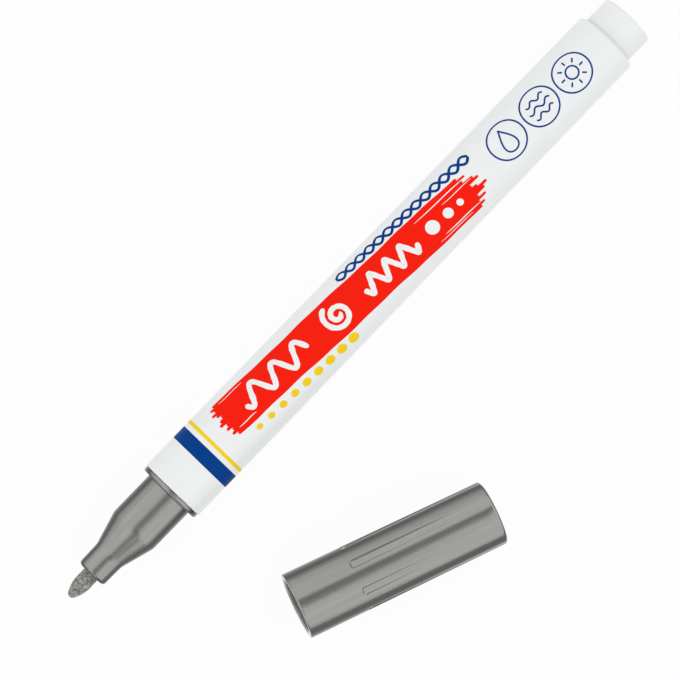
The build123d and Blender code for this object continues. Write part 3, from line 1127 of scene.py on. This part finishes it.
class MARKER_OT_spring(bpy.types.Operator):
    """Wind the valve's coil spring at one length. In the marker it shortens as the nib is pressed in."""

    bl_idname = "marker.spring"
    bl_label = "Wind the valve spring"

    turns: IntProperty(name="Turns", description="Turns of the coil", default=7, min=1)
    turn_steps: IntProperty(name="Turn steps", description="Faces along one turn", default=48, min=3)
    wire_sides: IntProperty(name="Wire sides", description="Faces round the wire", default=16, min=3)
    wire_diameter: length_setting("Wire", "Diameter of the wire", 0.4)

    def execute(self, context):
        wire = self.wire_diameter / 2
        length = SPRING_HIGH.x - SPRING_LOW.x - 2 * wire
        steps = self.turn_steps * self.turns
        start_fresh()
        bpy.ops.mesh.primitive_circle_add(
            vertices=self.wire_sides, radius=wire, fill_type="NGON",
            location=(SPRING_HIGH.x - wire, SPRING_HIGH.y - wire, 0.0),
        )
        piece = bpy.context.object
        piece.name = "coil_spring"
        bpy.ops.object.transform_apply(location=True, rotation=True, scale=True)
        apply_modifier(
            piece, "SCREW", axis="X", angle=math.tau * self.turns, screw_offset=-length,
            steps=steps, render_steps=steps, use_normal_calculate=True,
        )
        edit_all(bpy.ops.mesh.normals_make_consistent, inside=False)
        finish_piece(piece, drawn_wire(), "marker")
        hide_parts("valve_spring")
        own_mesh(piece)
        return {"FINISHED"}


# Stage

# Each softbox: its name, the turn of its long side from +X and the leans of its near and far edges from the
# vertical in degrees, its front and rear ends along the long side in metres, and its share of the level
SOFTBOXES = (
    ("softbox_cap_side", 45.0, 3.8, 80.0, 3.8, -2.2, 1.12),
    ("softbox_far_side", 20.0, -20.3, -88.5, 1.5, -2.7, 1.05),
    ("softbox_front", 0.0, 13.0, 30.0, 4.0, 0.5, 0.55),
    ("softbox_nib_end", -90.0, 54.0, 80.0, 0.85, -0.85, 1.9),
)
# Meshes that stay in reflections
REFLECTED = ("floor", "grooved_cap", "cap_inner_seal")


def floor_material(grey, white_share):
    """A pale floor that shows as plain white but keeps the shadow of what lies on it."""
    material, tree, shader, _ = new_material("pale_floor")
    shader.inputs["Base Color"].default_value = (grey, grey, grey, 1.0)
    shader.inputs["Roughness"].default_value = 1.0
    shader.inputs["Specular IOR Level"].default_value = 0.0
    path = add_node(tree, "ShaderNodeLightPath").outputs
    seen = path["Is Camera Ray"]
    for kind in ("Is Glossy Ray", "Is Transmission Ray"):
        either = add_node(tree, "ShaderNodeMath", {0: seen, 1: path[kind]}, operation="MAXIMUM")
        seen = either.outputs["Value"]
    share = add_node(tree, "ShaderNodeMath", {0: seen, 1: white_share}, operation="MULTIPLY")
    white = add_node(tree, "ShaderNodeEmission", {"Color": (1.0, 1.0, 1.0, 1.0), "Strength": 1.0})
    mixed = add_node(tree, "ShaderNodeMixShader", {
        0: share.outputs["Value"], 1: shader.outputs["BSDF"], 2: white.outputs["Emission"],
    })
    tree.links.new(mixed.outputs["Shader"], tree.nodes["Material Output"].inputs["Surface"])
    return material


def aim(thing, right, back, place):
    """Put a lamp or a camera in its place, with its right side and its back in the given directions."""
    above = back.cross(right)
    thing.matrix_world = Matrix((
        (*right, 0.0), (*above, 0.0), (*back, 0.0), (0.0, 0.0, 0.0, 1.0),
    )).transposed()
    thing.location = place


def add_softbox(name, turn, near, far, front, rear, distance, radiance, target):
    """An area lamp between two leans from the vertical, with a long side turned from +X and given ends."""
    length = front - rear
    lean = (near + far) / 2
    width = 2 * distance * math.tan(abs(far - near) / 2)
    side = Vector((math.cos(turn), math.sin(turn), 0.0))
    back = Vector((-math.sin(turn) * math.sin(lean), math.cos(turn) * math.sin(lean), math.cos(lean)))
    start_fresh()
    bpy.ops.object.light_add(type="AREA")
    lamp = bpy.context.object
    lamp.name = name
    lamp.data.shape = "RECTANGLE"
    lamp.data.size = length
    lamp.data.size_y = width
    lamp.data.energy = radiance * math.pi * width * length
    aim(lamp, side, back, target + back * distance + side * (front + rear) / 2)


def keep_out_of_reflections(shown):
    """Leave all meshes but the named ones out of reflections, so that the cap shines as if alone."""
    for piece in bpy.data.objects:
        if piece.type == "MESH":
            piece.visible_glossy = piece.name in shown


class MARKER_OT_stage(bpy.types.Operator):
    """Set up the floor, the softboxes, the room and the camera"""

    bl_idname = "marker.stage"
    bl_label = "Set the stage"

    def execute(self, context):
        stage = context.scene.marker_stage
        target = Vector(stage.target)
        start_fresh()
        bpy.ops.mesh.primitive_plane_add(size=stage.floor_size, location=(0.0, 0.0, FLOOR_HEIGHT))
        floor = bpy.context.object
        floor.name = "floor"
        floor.data.materials.append(floor_material(stage.floor_grey, stage.floor_white))
        keep_out_of_reflections(REFLECTED)

        for name, turn, near, far, front, rear, share in SOFTBOXES:
            angles = [math.radians(angle) for angle in (turn, near, far)]
            add_softbox(name, *angles, front, rear, stage.box_distance, stage.box_radiance * share, target)

        world = bpy.data.worlds.new("studio_room")
        world.use_nodes = True
        room = world.node_tree.nodes["Background"]
        room.inputs["Color"].default_value = (1.0, 1.0, 1.0, 1.0)
        room.inputs["Strength"].default_value = stage.room_level
        context.scene.world = world

        lean, side = stage.tilt, stage.azimuth
        back = Vector((math.sin(lean) * math.cos(side), math.sin(lean) * math.sin(side), math.cos(lean)))
        up = Vector((math.cos(stage.roll), math.sin(stage.roll), 0.0))
        bpy.ops.object.camera_add()
        camera = bpy.context.object
        camera.name = "camera"
        camera.data.sensor_width = stage.sensor
        camera.data.lens = stage.lens
        aim(camera, up.cross(back).normalized(), back, target + back * stage.distance)
        context.scene.camera = camera
        context.scene.view_settings.view_transform = "Standard"
        return {"FINISHED"}


# Add-on frame


class MARKER_PT_panel(bpy.types.Panel):
    """The marker's build steps and settings"""

    bl_label = "Chalk marker"
    bl_idname = "MARKER_PT_panel"
    bl_space_type = "VIEW_3D"
    bl_region_type = "UI"
    bl_category = "Marker"

    def draw(self, context):
        for step in STEPS:
            self.layout.operator(step.bl_idname)
        for name in SETTINGS:
            group = getattr(context.scene, name)
            box = self.layout.box()
            for field in group.bl_rna.properties.keys():
                if field not in ("rna_type", "name"):
                    box.prop(group, field)


STEPS = (
    MARKER_OT_barrel,
    MARKER_OT_front,
    MARKER_OT_inside,
    MARKER_OT_nib,
    MARKER_OT_cap,
    MARKER_OT_print_rings,
    MARKER_OT_print_field,
    MARKER_OT_print_chalk,
    MARKER_OT_print_trim,
    MARKER_OT_print_symbols,
    MARKER_OT_spring,
    MARKER_OT_stage,
)
SETTINGS = {
    "marker_finish": MarkerFinishSettings,
    "marker_nib": MarkerNibSettings,
    "marker_cap": MarkerCapSettings,
    "marker_print": MarkerPrintSettings,
    "marker_stage": MarkerStageSettings,
}


def register():
    """Register the settings, the steps and the panel."""
    for name, settings in SETTINGS.items():
        bpy.utils.register_class(settings)
        setattr(bpy.types.Scene, name, PointerProperty(type=settings))
    for step in STEPS:
        bpy.utils.register_class(step)
    bpy.utils.register_class(MARKER_PT_panel)


def unregister():
    """Take back what register did."""
    bpy.utils.unregister_class(MARKER_PT_panel)
    for step in reversed(STEPS):
        bpy.utils.unregister_class(step)
    for name, settings in SETTINGS.items():
        delattr(bpy.types.Scene, name)
        bpy.utils.unregister_class(settings)


def main():
    """Build the marker step by step."""
    register()
    bpy.ops.marker.barrel()
    bpy.ops.marker.front()
    bpy.ops.marker.inside()
    bpy.ops.marker.nib()
    bpy.ops.marker.cap()
    bpy.ops.marker.print_rings()
    bpy.ops.marker.print_field()
    bpy.ops.marker.print_chalk()
    bpy.ops.marker.print_trim()
    bpy.ops.marker.print_symbols()
    bpy.ops.marker.spring()
    bpy.ops.marker.stage()


if __name__ == "__main__":
    main()
